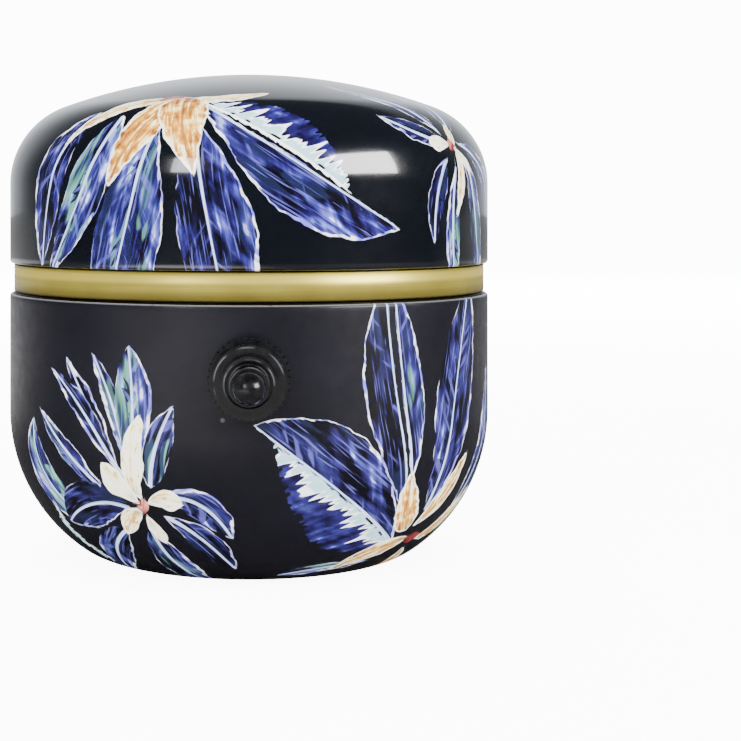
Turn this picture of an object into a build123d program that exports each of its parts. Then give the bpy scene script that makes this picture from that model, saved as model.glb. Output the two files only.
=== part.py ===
"""Small electric pottery wheel built into a lidded round tin, in millimetres.

The origin is on the table under the tin's centre, +Z is up and the front, with the speed knob, faces -Y.
A printed tin body holds a gold neck ring. A moulded basin sits in the ring and carries the motor, whose
shaft turns the wheel head. A domed lid covers the head. A speed knob is on the front wall, a power
socket is on the back wall, and a small controller board sits behind the knob.
"""

import os
from math import atan2, cos, degrees, radians, sin, sqrt

from build123d import *

# ---- driving dimensions -------------------------------------------------------------------------
tin_radius = 42.5
total_height = 85.0
tin_wall = 0.5
foot_drop = 0.2  # the rubber pad stands this far below the tin
body_rim_z = 46.4
lid_edge_z = 51.7
seat_gap = 0.02  # between faces that rest on each other across a joint

base_ring_radius = 24.0  # where the rounded corner turns flat
corner_upper_radius = 29.0
corner_upper_sweep = 54.4  # degrees of the corner that has the upper radius
panel_radius = 20.5  # recessed panel in the middle of the base
panel_rise = 1.8

crown_radius = 95.5
shoulder_radius = 14.4
hem_width = 1.1  # rolled edges of the lid and the body
hem_height = 1.5

bead_radius = 41.75  # the gold band that shows between the lid and the body
neck_radius = 41.0
neck_inner = 40.5
neck_top_z = 58.0
skirt_radius = tin_radius - hem_width  # a press fit in the body's rolled rim
skirt_bottom_z = 40.0

basin_radius = 40.3
basin_floor_z = 50.0
basin_floor = 2.0
basin_wall = 1.4
collar_inner, collar_outer, collar_top_z = 12.5, 13.9, 54.0

head_radius = 30.0
head_top_z = 64.0
head_thickness = 4.0
drip_inner, drip_outer, drip_z = 15.2, 16.6, 53.0  # skirt under the head that overhangs the collar
groove_radii = (12.0, 16.0, 20.0, 24.0)
groove_width, groove_depth = 0.6, 0.4

hub_radius, hub_bottom_z = 5.5, 52.2
hub_flange_radius, hub_flange = 11.0, 2.0
hub_screws, hub_screw_ring = 3, 8.0
m25 = 1.25  # radius of an M2.5 screw

motor_radius = 13.85
motor_wall = 1.0
motor_top_z = basin_floor_z - basin_floor
motor_length = 38.0
motor_face = 1.2
motor_boss_radius, motor_boss_height = 5.0, 2.5
motor_screw_x = 8.0
shaft_radius = 1.5
bush_radius = 3.0
bush_gap = 0.03  # running clearance of the shaft in its bushes

knob_z = 35.3
socket_z = 30.0
wire_radius = 0.7
running_gap = 0.05  # radial, around the speed control's shaft and under the brushes
shaft_flat = 1.2  # distance of the motor shaft's flat from its axis

UP = (Align.CENTER, Align.CENTER, Align.MIN)
parts_folder = "parts"
os.makedirs(parts_folder, exist_ok=True)


def save(builder, name):
    """Labels a finished piece and writes it as its own STEP file."""
    builder.part.label = name
    export_step(builder.part, os.path.join(parts_folder, name + ".step"))


def front_plane(y):
    """A plane facing the front at this Y. Its own axes are the object's X and Z."""
    return Plane(origin=(0, y, 0), x_dir=(1, 0, 0), z_dir=(0, -1, 0))


def annulus(outer, inner):
    """A ring in the open BuildSketch."""
    Circle(outer)
    Circle(inner, mode=Mode.SUBTRACT)


# ---- places worked out from the driving dimensions ------------------------------------------------
inner_radius = tin_radius - tin_wall
panel_z = foot_drop + panel_rise  # underside of the recessed panel
head_under_z = head_top_z - head_thickness
motor_bottom_z = motor_top_z - motor_length
front_y, back_y = -tin_radius, tin_radius

# The body's lower corner is two tangent arcs. The lower one turns flat at base_ring_radius.
upper_turn = radians(corner_upper_sweep)
upper_centre_r = tin_radius - corner_upper_radius
corner_split_r = upper_centre_r + corner_upper_radius * cos(upper_turn)
corner_lower_radius = (corner_split_r - base_ring_radius) / cos(upper_turn)
corner_split_z = foot_drop + corner_lower_radius * (1 - sin(upper_turn))
upper_centre = (upper_centre_r, corner_split_z + corner_upper_radius * sin(upper_turn))
lower_centre = (base_ring_radius, foot_drop + corner_lower_radius)

# The lid's shoulder arc is tangent to its crown and to its side.
crown_centre = (0, total_height - crown_radius)
shoulder_r = tin_radius - shoulder_radius
shoulder_rise = sqrt((crown_radius - shoulder_radius) ** 2 - shoulder_r**2)
shoulder_centre = (shoulder_r, crown_centre[1] + shoulder_rise)
shoulder_turn = degrees(atan2(shoulder_rise, shoulder_r))


# ---- tin body -------------------------------------------------------------------------------------
def body_outline(inset):
    """The body's profile from the axis to under the rim, moved inwards by inset."""
    low = CenterArc(lower_centre, corner_lower_radius - inset, -90, 90 - corner_upper_sweep)
    high = CenterArc(upper_centre, corner_upper_radius - inset, -corner_upper_sweep, corner_upper_sweep)
    Polyline((0, panel_z + inset), (panel_radius, panel_z + inset), low @ 0)
    return Line(high @ 1, (tin_radius - inset, body_rim_z - hem_height))


knob_hole_radius = 3.6
socket_hole_radius = 5.6
with BuildPart() as tin_body:
    with BuildSketch(Plane.XZ):
        with BuildLine():
            outside = body_outline(0)
            inside = body_outline(tin_wall)
            Polyline(
                outside @ 1,
                (tin_radius, body_rim_z),
                (tin_radius - hem_width, body_rim_z),
                (tin_radius - hem_width, body_rim_z - hem_height),
                inside @ 1,
            )
            Line((0, panel_z), (0, panel_z + tin_wall))
        rim = make_face()
        fillet(rim.vertices().group_by(Axis.Y)[-1], 0.5)
    revolve(axis=Axis.Z)
    for wall_y, hole_z, hole_radius in (
        (front_y, knob_z, knob_hole_radius),
        (back_y, socket_z, socket_hole_radius),
    ):
        with BuildSketch(front_plane(wall_y)):
            with Locations((0, hole_z)):
                Circle(hole_radius)
        extrude(amount=5, both=True, mode=Mode.SUBTRACT)
save(tin_body, "tin_body")

# ---- gold neck ring: a skirt inside the body, the bead that shows, and the neck under the lid -----
bead_bottom_z = body_rim_z + 0.3
bead_top_z = lid_edge_z - seat_gap
with BuildPart() as neck_ring:
    with BuildSketch(Plane.XZ):
        with BuildLine():
            Polyline(
                (neck_inner, skirt_bottom_z),
                (skirt_radius, skirt_bottom_z),
                (skirt_radius, bead_bottom_z),
                (bead_radius, bead_bottom_z),
                (bead_radius, bead_top_z),
                (neck_radius, bead_top_z),
                (neck_radius, neck_top_z),
                (neck_inner, neck_top_z),
                close=True,
            )
        ring = make_face()
        fillet(ring.vertices().group_by(Axis.X)[-1], 0.25)
    revolve(axis=Axis.Z)
save(neck_ring, "neck_ring")


# ---- lid ------------------------------------------------------------------------------------------
def lid_outline(inset):
    """The lid's profile from the axis down to its hem, moved inwards by inset."""
    CenterArc(crown_centre, crown_radius - inset, shoulder_turn, 90 - shoulder_turn)
    shoulder = CenterArc(shoulder_centre, shoulder_radius - inset, 0, shoulder_turn)
    return Line(shoulder @ 0, (tin_radius - inset, lid_edge_z + hem_height))


with BuildPart() as lid:
    with BuildSketch(Plane.XZ):
        with BuildLine():
            outside = lid_outline(0)
            inside = lid_outline(tin_wall)
            Polyline(
                outside @ 1,
                (tin_radius, lid_edge_z),
                (tin_radius - hem_width, lid_edge_z),
                (tin_radius - hem_width, lid_edge_z + hem_height),
                inside @ 1,
            )
            Line((0, total_height - tin_wall), (0, total_height))
        edge = make_face()
        fillet(edge.vertices().group_by(Axis.Y)[0].sort_by(Axis.X)[-1], 0.5)
    revolve(axis=Axis.Z)
save(lid, "lid")

# ---- rubber pad glued into the recessed panel -----------------------------------------------------
pad_radius, pad_groove_radius, pad_groove = 19.6, 14.0, 1.0
with BuildPart() as base_pad:
    with BuildSketch():
        Circle(pad_radius)
    extrude(amount=panel_z)
    fillet(base_pad.edges().group_by(Axis.Z)[0], 0.4)
    with BuildSketch():
        annulus(pad_groove_radius + pad_groove / 2, pad_groove_radius - pad_groove / 2)
    extrude(amount=pad_groove / 2, mode=Mode.SUBTRACT)
save(base_pad, "base_pad")

# ---- splash basin, which also carries the motor ---------------------------------------------------
lip_z = neck_top_z + seat_gap
lip_top_z = neck_top_z + 1.2
basin_inner = basin_radius - basin_wall
boss_hole = motor_boss_radius + 0.1
with BuildPart() as splash_basin:
    with BuildSketch(Plane.XZ):
        with BuildLine():
            Polyline(
                (boss_hole, motor_top_z),
                (basin_radius, motor_top_z),
                (basin_radius, lip_z),
                (neck_radius, lip_z),
                (neck_radius, lip_top_z),
                (basin_inner, lip_top_z),
                (basin_inner, basin_floor_z),
                (collar_outer, basin_floor_z),
                (collar_outer, collar_top_z),
                (collar_inner, collar_top_z),
                (collar_inner, basin_floor_z),
                (boss_hole, basin_floor_z),
                close=True,
            )
        bowl = make_face()
        floor_corners = bowl.vertices().filter_by_position(Axis.Y, basin_floor_z - 0.1, basin_floor_z + 0.1)
        fillet(bowl.vertices().group_by(Axis.Y)[-1], 0.5)
        fillet(floor_corners.sort_by(Axis.X)[-1], 3)
        fillet(floor_corners.sort_by(Axis.X)[-2], 1)
    revolve(axis=Axis.Z)
    with Locations((motor_screw_x, 0, basin_floor_z), (-motor_screw_x, 0, basin_floor_z)):
        Hole(m25 + 0.1, depth=basin_floor)
save(splash_basin, "splash_basin")

# ---- wheel head: a grooved disc with a drip skirt ---------------------------------------------------
with BuildPart() as wheel_head:
    with BuildSketch(Plane.XZ):
        with BuildLine():
            Polyline(
                (0, head_under_z),
                (drip_inner, head_under_z),
                (drip_inner, drip_z),
                (drip_outer, drip_z),
                (drip_outer, head_under_z),
                (head_radius, head_under_z),
                (head_radius, head_top_z),
                (0, head_top_z),
                close=True,
            )
        disc = make_face()
        fillet(disc.vertices().group_by(Axis.X)[-1], 1.2)
        with Locations(*[(groove, head_top_z) for groove in groove_radii]):
            Rectangle(groove_width, 2 * groove_depth, mode=Mode.SUBTRACT)
    revolve(axis=Axis.Z)
    with Locations(Location((0, 0, head_top_z))):
        with PolarLocations(hub_screw_ring, hub_screws, start_angle=90):
            CounterSinkHole(m25 + 0.1, 2 * m25, depth=head_thickness, counter_sink_angle=90)
save(wheel_head, "wheel_head")

# ---- drive hub and its screws -----------------------------------------------------------------------
grub_z = 56.0
with BuildPart() as drive_hub:
    with BuildSketch(Plane.XY.offset(hub_bottom_z)):
        annulus(hub_radius, shaft_radius)
    extrude(amount=head_under_z - hub_bottom_z)
    with BuildSketch(Plane.XY.offset(head_under_z - hub_flange)):
        annulus(hub_flange_radius, shaft_radius)
        with PolarLocations(hub_screw_ring, hub_screws, start_angle=90):
            Circle(m25, mode=Mode.SUBTRACT)
    extrude(amount=hub_flange)
    with BuildSketch(Plane.YZ):
        with Locations((0, grub_z)):
            Circle(m25)
    extrude(amount=hub_radius, mode=Mode.SUBTRACT)
save(drive_hub, "drive_hub")

with BuildPart() as head_screws:
    with PolarLocations(hub_screw_ring, hub_screws, start_angle=90):
        with Locations((0, 0, head_under_z - hub_flange)):
            Cylinder(m25, head_thickness + hub_flange - m25, align=UP)
        with Locations((0, 0, head_top_z - m25)):
            Cone(m25, 2 * m25 - 0.1, m25 - 0.1, align=UP)
        with Locations((0, 0, head_top_z - 0.9)):
            Box(3, 0.6, 1, align=UP, mode=Mode.SUBTRACT)
            Box(0.6, 3, 1, align=UP, mode=Mode.SUBTRACT)
save(head_screws, "head_screws")

with BuildPart() as hub_grub_screw:
    with BuildSketch(Plane.YZ.offset(shaft_flat)):
        with Locations((0, grub_z)):
            Circle(m25)
    extrude(amount=hub_radius - shaft_flat)
    with BuildSketch(Plane.YZ.offset(hub_radius)):
        with Locations((0, grub_z)):
            RegularPolygon(0.75, 6)
    extrude(amount=-1.5, mode=Mode.SUBTRACT)
save(hub_grub_screw, "hub_grub_screw")

# ---- motor ------------------------------------------------------------------------------------------
can_inner = motor_radius - motor_wall
boss_top_z = motor_top_z + motor_boss_height
with BuildPart() as motor_can:
    with BuildSketch(Plane.XY.offset(motor_bottom_z)):
        annulus(motor_radius, can_inner)
    extrude(amount=motor_length)
    with BuildSketch(Plane.XY.offset(motor_top_z - motor_face)):
        annulus(can_inner, bush_radius)
    extrude(amount=motor_face)
    with BuildSketch(Plane.XY.offset(motor_top_z)):
        annulus(motor_boss_radius, bush_radius)
    extrude(amount=motor_boss_height)
    with Locations((motor_screw_x, 0, motor_top_z), (-motor_screw_x, 0, motor_top_z)):
        Hole(m25, depth=motor_face)
save(motor_can, "motor_can")

screw_tip_z = motor_top_z - motor_face - 1.3
pan_head_radius, pan_head = 2.25, 1.6
with BuildPart() as motor_screws:
    with Locations((motor_screw_x, 0), (-motor_screw_x, 0)):
        with Locations((0, 0, screw_tip_z)):
            Cylinder(m25, basin_floor_z - screw_tip_z, align=UP)
        with Locations((0, 0, basin_floor_z)):
            Cylinder(pan_head_radius, pan_head, align=UP)
        with Locations((0, 0, basin_floor_z + pan_head - 0.8)):
            Box(2.6, 0.6, 1, align=UP, mode=Mode.SUBTRACT)
            Box(0.6, 2.6, 1, align=UP, mode=Mode.SUBTRACT)
save(motor_screws, "motor_screws")

rear_boss_radius, rear_boss_z = 4.5, 6.5
cap_plate = 1.5
cap_plate_z = motor_bottom_z - cap_plate
tab_x, tab_thick, tab_width, tab_z = 5.5, 0.4, 3.0, 4.5
with BuildPart() as motor_end_cap:
    with BuildSketch(Plane.XY.offset(cap_plate_z)):
        annulus(motor_radius, bush_radius)
        with Locations((tab_x + tab_thick / 2, 0), (-tab_x - tab_thick / 2, 0)):
            Rectangle(tab_thick, tab_width, mode=Mode.SUBTRACT)
    extrude(amount=cap_plate)
    with BuildSketch(Plane.XY.offset(rear_boss_z)):
        annulus(rear_boss_radius, bush_radius)
    extrude(amount=cap_plate_z - rear_boss_z)
    with BuildSketch(Plane.XY.offset(motor_bottom_z)):
        annulus(can_inner, can_inner - 2)
    extrude(amount=3)
save(motor_end_cap, "motor_end_cap")

with BuildPart() as motor_front_bush:
    with BuildSketch(Plane.XY.offset(boss_top_z - 3.5)):
        annulus(bush_radius, shaft_radius + bush_gap)
    extrude(amount=3.5)
save(motor_front_bush, "motor_front_bush")

with BuildPart() as motor_rear_bush:
    with BuildSketch(Plane.XY.offset(rear_boss_z)):
        annulus(bush_radius, shaft_radius + bush_gap)
    extrude(amount=motor_bottom_z - rear_boss_z)
save(motor_rear_bush, "motor_rear_bush")

core_z, core_length = 20.0, 18.0
with BuildPart() as motor_magnets:
    with BuildSketch(Plane.XY.offset(core_z - 3)):
        annulus(can_inner, can_inner - 2)
        with Locations((0, can_inner), (0, -can_inner)):
            Rectangle(2 * can_inner * cos(radians(65)), can_inner * 1.2, mode=Mode.SUBTRACT)
    extrude(amount=core_length + 6)
save(motor_magnets, "motor_magnets")

# ---- motor shaft and armature ---------------------------------------------------------------------
shaft_bottom_z, shaft_top_z = rear_boss_z + 0.3, head_under_z - 0.5
with BuildPart() as motor_shaft:
    with Locations((0, 0, shaft_bottom_z)):
        Cylinder(shaft_radius, shaft_top_z - shaft_bottom_z, align=UP)
    with Locations((shaft_flat, 0, grub_z - 3)):
        Box(1, 4, shaft_top_z, align=(Align.MIN, Align.CENTER, Align.MIN), mode=Mode.SUBTRACT)
    chamfer(motor_shaft.edges().group_by(Axis.Z)[0], 0.3)
save(motor_shaft, "motor_shaft")

pole_radius, pole_inner, pole_hub, neck_width = 10.2, 8.4, 3.8, 3.5
with BuildPart() as armature_core:
    with BuildSketch(Plane.XY.offset(core_z)):
        annulus(pole_radius, pole_inner)
        with PolarLocations(pole_inner, 3, start_angle=60):
            Rectangle(5, 3.6, mode=Mode.SUBTRACT)
        Circle(pole_hub)
        with PolarLocations(pole_inner / 2, 3):
            Rectangle(pole_inner + 0.4, neck_width)
        Circle(shaft_radius, mode=Mode.SUBTRACT)
    extrude(amount=core_length)
save(armature_core, "armature_core")

coil_start, coil_end, coil_side = 4.0, 7.4, 1.8
with BuildPart() as armature_windings:
    with PolarLocations((coil_start + coil_end) / 2, 3):
        with Locations((0, 0, core_z + core_length / 2)):
            Box(coil_end - coil_start, neck_width + 2 * coil_side, core_length + 2 * coil_side)
    fillet(armature_windings.edges().filter_by(lambda edge: edge.length < coil_end - coil_start + 0.1), 1.2)
    with PolarLocations((coil_start + coil_end) / 2, 3):
        with Locations((0, 0, core_z + core_length / 2)):
            Box(coil_end, neck_width, core_length, mode=Mode.SUBTRACT)
save(armature_windings, "armature_windings")

sleeve_radius, segment_radius = 2.3, 3.4
segment_z, segment_length = 13.6, 4.2
with BuildPart() as commutator_sleeve:
    with BuildSketch(Plane.XY.offset(segment_z - 0.6)):
        annulus(sleeve_radius, shaft_radius)
    extrude(amount=segment_length + 1.2)
save(commutator_sleeve, "commutator_sleeve")

with BuildPart() as commutator_segments:
    with BuildSketch(Plane.XY.offset(segment_z)):
        annulus(segment_radius, sleeve_radius)
        with PolarLocations(segment_radius, 3):
            Rectangle(3, 0.4, mode=Mode.SUBTRACT)
    extrude(amount=segment_length)
save(commutator_segments, "commutator_segments")

with BuildPart() as carbon_brushes:
    with BuildSketch(Plane.XY.offset(segment_z + 0.8)):
        Rectangle(2 * tab_x, 2.6)
        Circle(segment_radius + running_gap, mode=Mode.SUBTRACT)
    extrude(amount=segment_length - 1.6)
save(carbon_brushes, "carbon_brushes")

with BuildPart() as brush_terminals:
    with Locations((tab_x + tab_thick / 2, 0, tab_z), (-tab_x - tab_thick / 2, 0, tab_z)):
        Box(tab_thick, tab_width, segment_z + segment_length - tab_z, align=UP)
save(brush_terminals, "brush_terminals")

# ---- speed control: potentiometer on the front wall -------------------------------------------------
pot_width, pot_height = 9.5, 9.2
pot_front_y = -41.7
pot_plate, pot_depth = 1.0, 5.5
wiper_radius, wiper_gap = 3.8, 0.2
pot_shaft_radius, pot_flat = 2.95, 1.45
bush_outer, bush_front_y = 3.5, front_y - 4.0
with BuildPart() as pot_bush:
    with BuildSketch(front_plane(pot_front_y)):
        with Locations((0, knob_z)):
            Rectangle(pot_width, pot_height)
            Circle(pot_shaft_radius + running_gap, mode=Mode.SUBTRACT)
    extrude(amount=-pot_plate)
    with BuildSketch(front_plane(pot_front_y)):
        with Locations((0, knob_z)):
            annulus(bush_outer, pot_shaft_radius + running_gap)
    extrude(amount=pot_front_y - bush_front_y)
save(pot_bush, "pot_bush")

pin_x = (-2.5, 0.0, 2.5)
pin_y = pot_front_y + pot_plate + pot_depth - 1.0
with BuildPart() as pot_housing:
    with BuildSketch(front_plane(pot_front_y + pot_plate)):
        with Locations((0, knob_z)):
            Rectangle(pot_width, pot_height)
    extrude(amount=-pot_depth)
    with BuildSketch(front_plane(pot_front_y + pot_plate)):
        with Locations((0, knob_z)):
            Circle(wiper_radius + wiper_gap)
    extrude(amount=2.5 - pot_depth, mode=Mode.SUBTRACT)
save(pot_housing, "pot_housing")

wiper_back_y = pot_front_y + pot_plate + 2.2
knob_bore_y = front_y - 8.2
with BuildPart() as pot_shaft:
    with BuildSketch(front_plane(wiper_back_y)):
        with Locations((0, knob_z)):
            Circle(wiper_radius)
    extrude(amount=1.5)
    with BuildSketch(front_plane(wiper_back_y)):
        with Locations((0, knob_z)):
            Circle(pot_shaft_radius)
    extrude(amount=wiper_back_y - knob_bore_y - 0.2)
    with BuildSketch(front_plane(bush_front_y)):
        with Locations((0, knob_z + pot_flat)):
            Rectangle(8, 4, align=(Align.CENTER, Align.MIN))
    extrude(amount=10, mode=Mode.SUBTRACT)
save(pot_shaft, "pot_shaft")

washer_thick, nut_thick = 0.5, 2.0
with BuildPart() as pot_washer:
    with BuildSketch(front_plane(front_y)):
        with Locations((0, knob_z)):
            annulus(5.1, bush_outer)
    extrude(amount=washer_thick)
save(pot_washer, "pot_washer")

with BuildPart() as pot_nut:
    with BuildSketch(front_plane(front_y - washer_thick)):
        with Locations((0, knob_z)):
            RegularPolygon(4.5, 6, major_radius=False)
            Circle(bush_outer, mode=Mode.SUBTRACT)
    extrude(amount=nut_thick)
save(pot_nut, "pot_nut")

board_width, board_front_y, board_back_y = 30.0, -38.0, -16.6
board_z, board_thick = 25.2, 1.6
board_top_z = board_z + board_thick
pin_width, pin_thick, pin_bottom_z = 1.0, 0.4, board_z - 1.0
pot_bottom_z = knob_z - pot_height / 2
with BuildPart() as pot_terminals:
    with Locations(*[(x, pin_y, pin_bottom_z) for x in pin_x]):
        Box(pin_width, pin_thick, pot_bottom_z - pin_bottom_z, align=UP)
save(pot_terminals, "pot_terminals")

# ---- speed knob: knurled skirt, grip, step, sunk ring and a domed nose ------------------------------
# Each depth is a distance in front of the tin's foremost line.
knob_back, skirt_front, grip_front, step_front = 0.6, 3.2, 7.5, 10.2
knurl_radius, knurl_root, knurl_teeth = 6.4, 6.1, 38
grip_radius, step_radius = 5.65, 4.15
sunk_outer, sunk_inner, sunk_depth = 3.6, 2.6, 1.2
nose_ring_radius, nose_ring_start, nose_ring_end = 2.9, 12.4, 13.6
dome_radius, nose_tip = 2.45, 17.5
recess_radius, recess_depth = 5.4, washer_thick + nut_thick + 0.4
neck_recess_radius, neck_recess_depth = 3.8, 4.4
with BuildPart() as speed_knob:
    with BuildSketch(Plane.YZ):
        with BuildLine():
            Polyline(
                (-knob_back, recess_radius),
                (-knob_back, knurl_root),
                (-skirt_front, knurl_root),
                (-skirt_front, grip_radius),
                (-grip_front, grip_radius),
                (-grip_front, step_radius),
                (-step_front, step_radius),
                (-step_front, sunk_outer),
                (-step_front + sunk_depth, sunk_outer),
                (-step_front + sunk_depth, sunk_inner),
                (-nose_ring_start, sunk_inner),
                (-nose_ring_start, nose_ring_radius),
                (-nose_ring_end, nose_ring_radius),
                (-nose_ring_end, dome_radius),
                (-nose_tip + dome_radius, dome_radius),
            )
            dome = CenterArc((-nose_tip + dome_radius, 0), dome_radius, 90, 90)
            Polyline(
                dome @ 1,
                (knob_bore_y - front_y, 0),
                (knob_bore_y - front_y, pot_shaft_radius),
                (-neck_recess_depth, pot_shaft_radius),
                (-neck_recess_depth, neck_recess_radius),
                (-recess_depth, neck_recess_radius),
                (-recess_depth, recess_radius),
                (-knob_back, recess_radius),
            )
        side = make_face()
        corners = side.vertices()
        front_corners = (
            (grip_front, grip_radius),
            (step_front, step_radius),
            (nose_ring_end, nose_ring_radius),
        )
        fillet([corners.sort_by_distance((0, -depth, radius))[0] for depth, radius in front_corners], 0.35)
    revolve(axis=Axis.Y)
    with BuildSketch(Plane.XZ.offset(knob_back)):
        with PolarLocations(knurl_root, knurl_teeth):
            Rectangle(2 * (knurl_radius - knurl_root), 0.6)
        Circle(knurl_root - 0.3, mode=Mode.SUBTRACT)
    extrude(amount=skirt_front - knob_back - 0.2)
    with BuildSketch(Plane.XZ.offset(neck_recess_depth)):
        with Locations((0, pot_flat)):
            Rectangle(4 * pot_flat, pot_shaft_radius - pot_flat, align=(Align.CENTER, Align.MIN))
    extrude(amount=-knob_bore_y + front_y - neck_recess_depth)
speed_knob.part = speed_knob.part.moved(Location((0, front_y, knob_z)))
save(speed_knob, "speed_knob")

# ---- controller board -------------------------------------------------------------------------------
leg_x, leg_y = 11.2, (-32.5, -30.0, -27.5)
leg_width, leg_thick = 0.8, 0.5
with BuildPart() as controller_board:
    with BuildSketch(Plane.XY.offset(board_z)):
        with Locations((0, (board_front_y + board_back_y) / 2)):
            Rectangle(board_width, board_back_y - board_front_y)
        with Locations(*[(x, pin_y) for x in pin_x]):
            Rectangle(pin_width, pin_thick, mode=Mode.SUBTRACT)
        with Locations(*[(leg_x, y) for y in leg_y]):
            Rectangle(leg_thick, leg_width, mode=Mode.SUBTRACT)
    extrude(amount=board_thick)
save(controller_board, "controller_board")

block_length, block_depth, block_height = 15.2, 7.6, 9.5
block_back_y = board_back_y - 0.4
way_x = (-5.7, -1.9, 1.9, 5.7)
with BuildPart() as terminal_block:
    with Locations((0, block_back_y, board_top_z)):
        Box(block_length, block_depth, block_height, align=(Align.CENTER, Align.MAX, Align.MIN))
    with Locations(*[(x, block_back_y - block_depth / 2, board_top_z + block_height) for x in way_x]):
        Hole(1.4, depth=2.5)
save(terminal_block, "terminal_block")

with BuildPart() as terminal_screws:
    with Locations(*[(x, block_back_y - block_depth / 2, board_top_z + block_height - 2.5) for x in way_x]):
        Cylinder(1.4, 1.6, align=UP)
    with Locations(*[(x, block_back_y - block_depth / 2, board_top_z + block_height - 1.5) for x in way_x]):
        Box(3, 0.5, 1, align=UP, mode=Mode.SUBTRACT)
save(terminal_screws, "terminal_screws")

with BuildPart() as filter_capacitor:
    with Locations((-11, -21, board_top_z)):
        Cylinder(3.2, 8, align=UP)
    fillet(filter_capacitor.edges().group_by(Axis.Z)[-1], 0.4)
save(filter_capacitor, "filter_capacitor")

with BuildPart() as driver_chip:
    with Locations((-9, -31, board_top_z)):
        Box(5, 4, 1.5, align=UP)
        with Locations(*[(x, y) for x in (-1.9, -0.63, 0.63, 1.9) for y in (-2.4, 2.4)]):
            Box(0.4, 1.2, 0.3, align=UP)
save(driver_chip, "driver_chip")

transistor_z = board_top_z + 3.0
with BuildPart() as power_transistor:
    with Locations((leg_x, -30, transistor_z)):
        Box(4.4, 10, 9, align=UP)
    with Locations((leg_x + 2.2, -30, transistor_z + 9)):
        Box(1.3, 10, 6, align=(Align.MAX, Align.CENTER, Align.MIN))
    with BuildSketch(Plane.YZ.offset(leg_x)):
        with Locations((-30, transistor_z + 12)):
            Circle(1.8)
    extrude(amount=5, mode=Mode.SUBTRACT)
save(power_transistor, "power_transistor")

with BuildPart() as transistor_legs:
    with Locations(*[(leg_x, y, pin_bottom_z) for y in leg_y]):
        Box(leg_thick, leg_width, transistor_z - pin_bottom_z, align=UP)
save(transistor_legs, "transistor_legs")

# ---- power socket on the back wall ------------------------------------------------------------------
flange_radius, flange_thick = 7.0, 2.0
thread_radius, thread_length = socket_hole_radius - 0.1, 11.0
socket_bore, socket_bore_depth = 3.0, 9.5
pin_radius = 1.05
socket_face_y = back_y + flange_thick
socket_end_y = back_y - thread_length
with BuildPart() as power_socket:
    with BuildSketch(front_plane(socket_face_y)):
        with Locations((0, socket_z)):
            Circle(flange_radius)
    extrude(amount=flange_thick)
    fillet(power_socket.edges().group_by(Axis.Y)[-1], 0.6)
    with BuildSketch(front_plane(back_y)):
        with Locations((0, socket_z)):
            Circle(thread_radius)
    extrude(amount=thread_length)
    with BuildSketch(front_plane(socket_face_y)):
        with Locations((0, socket_z)):
            Circle(socket_bore)
    extrude(amount=socket_bore_depth, mode=Mode.SUBTRACT)
save(power_socket, "power_socket")

with BuildPart() as socket_pin:
    with BuildSketch(front_plane(socket_face_y - 1)):
        with Locations((0, socket_z)):
            Circle(pin_radius)
    extrude(amount=socket_bore_depth - 1)
    fillet(socket_pin.edges().group_by(Axis.Y)[-1], 0.4)
save(socket_pin, "socket_pin")

socket_nut_y = 41.2  # its corners meet the curved inside of the wall here
with BuildPart() as socket_nut:
    with BuildSketch(front_plane(socket_nut_y)):
        with Locations((0, socket_z)):
            RegularPolygon(7, 6, major_radius=False)
            Circle(thread_radius, mode=Mode.SUBTRACT)
    extrude(amount=2)
save(socket_nut, "socket_nut")

lug_x, lug_length, lug_width = 2.5, 4.0, 2.0
with BuildPart() as socket_lugs:
    with Locations((lug_x, socket_end_y, socket_z), (-lug_x, socket_end_y, socket_z)):
        Box(tab_thick, lug_length, lug_width, align=(Align.CENTER, Align.MAX, Align.CENTER))
save(socket_lugs, "socket_lugs")

# ---- wires: one pair to the motor, one pair from the power socket -----------------------------------
bend = 1.4
drop_y = block_back_y + bend + 0.2
motor_way_z, supply_way_z = board_top_z + 3.2, board_top_z + 6.2
motor_wire_x = tab_x + tab_thick / 2
round_x, round_y = 17.0, socket_end_y - lug_length / 2
motor_run = (
    (motor_wire_x, block_back_y, motor_way_z),
    (motor_wire_x, drop_y, motor_way_z),
    (motor_wire_x, drop_y, tab_z + 1.2),
    (motor_wire_x, -tab_width / 2, tab_z + 1.2),
)
supply_run = (
    (way_x[2], block_back_y, supply_way_z),
    (way_x[2], drop_y, supply_way_z),
    (round_x, drop_y, supply_way_z),
    (round_x, round_y, socket_z),
    (lug_x + tab_thick / 2, round_y, socket_z),
)


def mirrored(run):
    """The same run on the other side of the object."""
    return [(-x, y, z) for x, y, z in run]


with BuildPart() as motor_wire_red:
    with BuildLine():
        FilletPolyline(*motor_run, radius=bend)
    with BuildSketch(Plane(origin=motor_run[0], z_dir=(0, 1, 0))):
        Circle(wire_radius)
    sweep()
save(motor_wire_red, "motor_wire_red")

with BuildPart() as motor_wire_black:
    with BuildLine():
        FilletPolyline(*mirrored(motor_run), radius=bend)
    with BuildSketch(Plane(origin=mirrored(motor_run)[0], z_dir=(0, 1, 0))):
        Circle(wire_radius)
    sweep()
save(motor_wire_black, "motor_wire_black")

with BuildPart() as supply_wire_red:
    with BuildLine():
        FilletPolyline(*supply_run, radius=bend)
    with BuildSketch(Plane(origin=supply_run[0], z_dir=(0, 1, 0))):
        Circle(wire_radius)
    sweep()
save(supply_wire_red, "supply_wire_red")

with BuildPart() as supply_wire_black:
    with BuildLine():
        FilletPolyline(*mirrored(supply_run), radius=bend)
    with BuildSketch(Plane(origin=mirrored(supply_run)[0], z_dir=(0, 1, 0))):
        Circle(wire_radius)
    sweep()
save(supply_wire_black, "supply_wire_black")
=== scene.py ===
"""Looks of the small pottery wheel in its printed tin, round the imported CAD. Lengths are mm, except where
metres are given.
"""
from math import atan2, cos, hypot, pi, radians, sin, sqrt

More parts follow.
